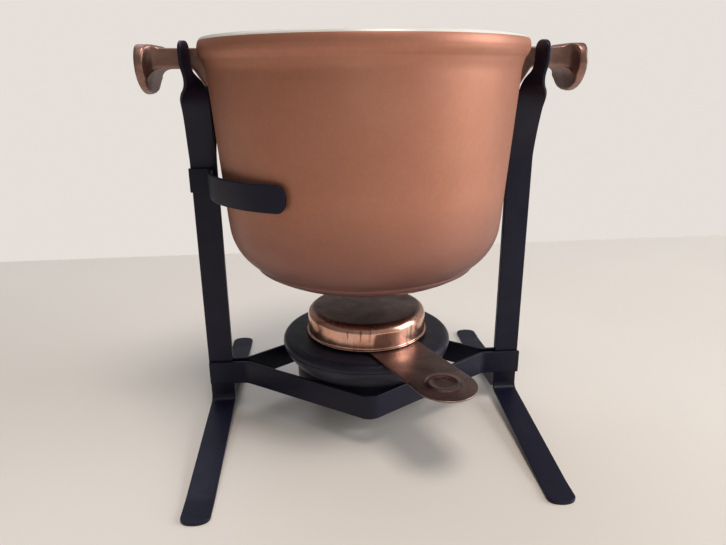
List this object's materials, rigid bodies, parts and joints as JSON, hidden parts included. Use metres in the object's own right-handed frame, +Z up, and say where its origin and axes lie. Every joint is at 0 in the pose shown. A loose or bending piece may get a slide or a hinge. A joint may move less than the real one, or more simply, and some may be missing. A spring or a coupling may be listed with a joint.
{
  "type": "fondue pot set",
  "caption": "Round copper fondue pot with a flared lip and two hooked ears, hung in a black strap-steel stand over a spirit burner with a copper snuffer cap.",
  "frame": {"origin": "centre of the stand's footprint on the table, under the pot's axis", "axes": "+X from the left ear to the right ear, +Z up along the pot's axis, the front of the stand faces -Y"},
  "size_m": [0.2408, 0.218, 0.228],
  "materials": {
    "stand_paint": "semi-gloss black",
    "pot_copper": "satin copper",
    "burner_paint": "semi-gloss black, browned by heat",
    "cap_copper": "polished copper, tarnished on top",
    "handle_copper": "tarnished copper",
    "gauze_steel": "woven wire",
    "pad_wool": "matt fibre"
  },
  "bodies": {
    "stand": {"leg_front_left": "stand_paint", "leg_front_right": "stand_paint", "leg_back_left": "stand_paint", "leg_back_right": "stand_paint", "brace_front": "stand_paint", "brace_back": "stand_paint", "arm_front_left": "stand_paint", "arm_back_right": "stand_paint"},
    "pot": {"pot_body": "pot_copper", "pot_ear_left": "pot_copper", "pot_ear_right": "pot_copper"},
    "burner": {"burner_pan": "burner_paint", "burner_cover": "burner_paint", "burner_neck": "burner_paint", "burner_gauze": "gauze_steel", "burner_pad": "pad_wool"},
    "snuffer": {"snuffer_cap": "cap_copper", "snuffer_handle": "handle_copper"}
  },
  "joints": [
    {"name": "pot_lift", "type": "slide", "parent": "stand", "child": "pot", "axis": [0, 0, 1], "range_m": [0, 0.14]},
    {"name": "burner_lift", "type": "slide", "parent": "stand", "child": "burner", "axis": [0, 0, 1], "range_m": [0, 0.0155]},
    {"name": "snuffer_lift", "type": "slide", "parent": "burner", "child": "snuffer", "axis": [0, 0, 1], "range_m": [0, 0.007]}
  ]
}
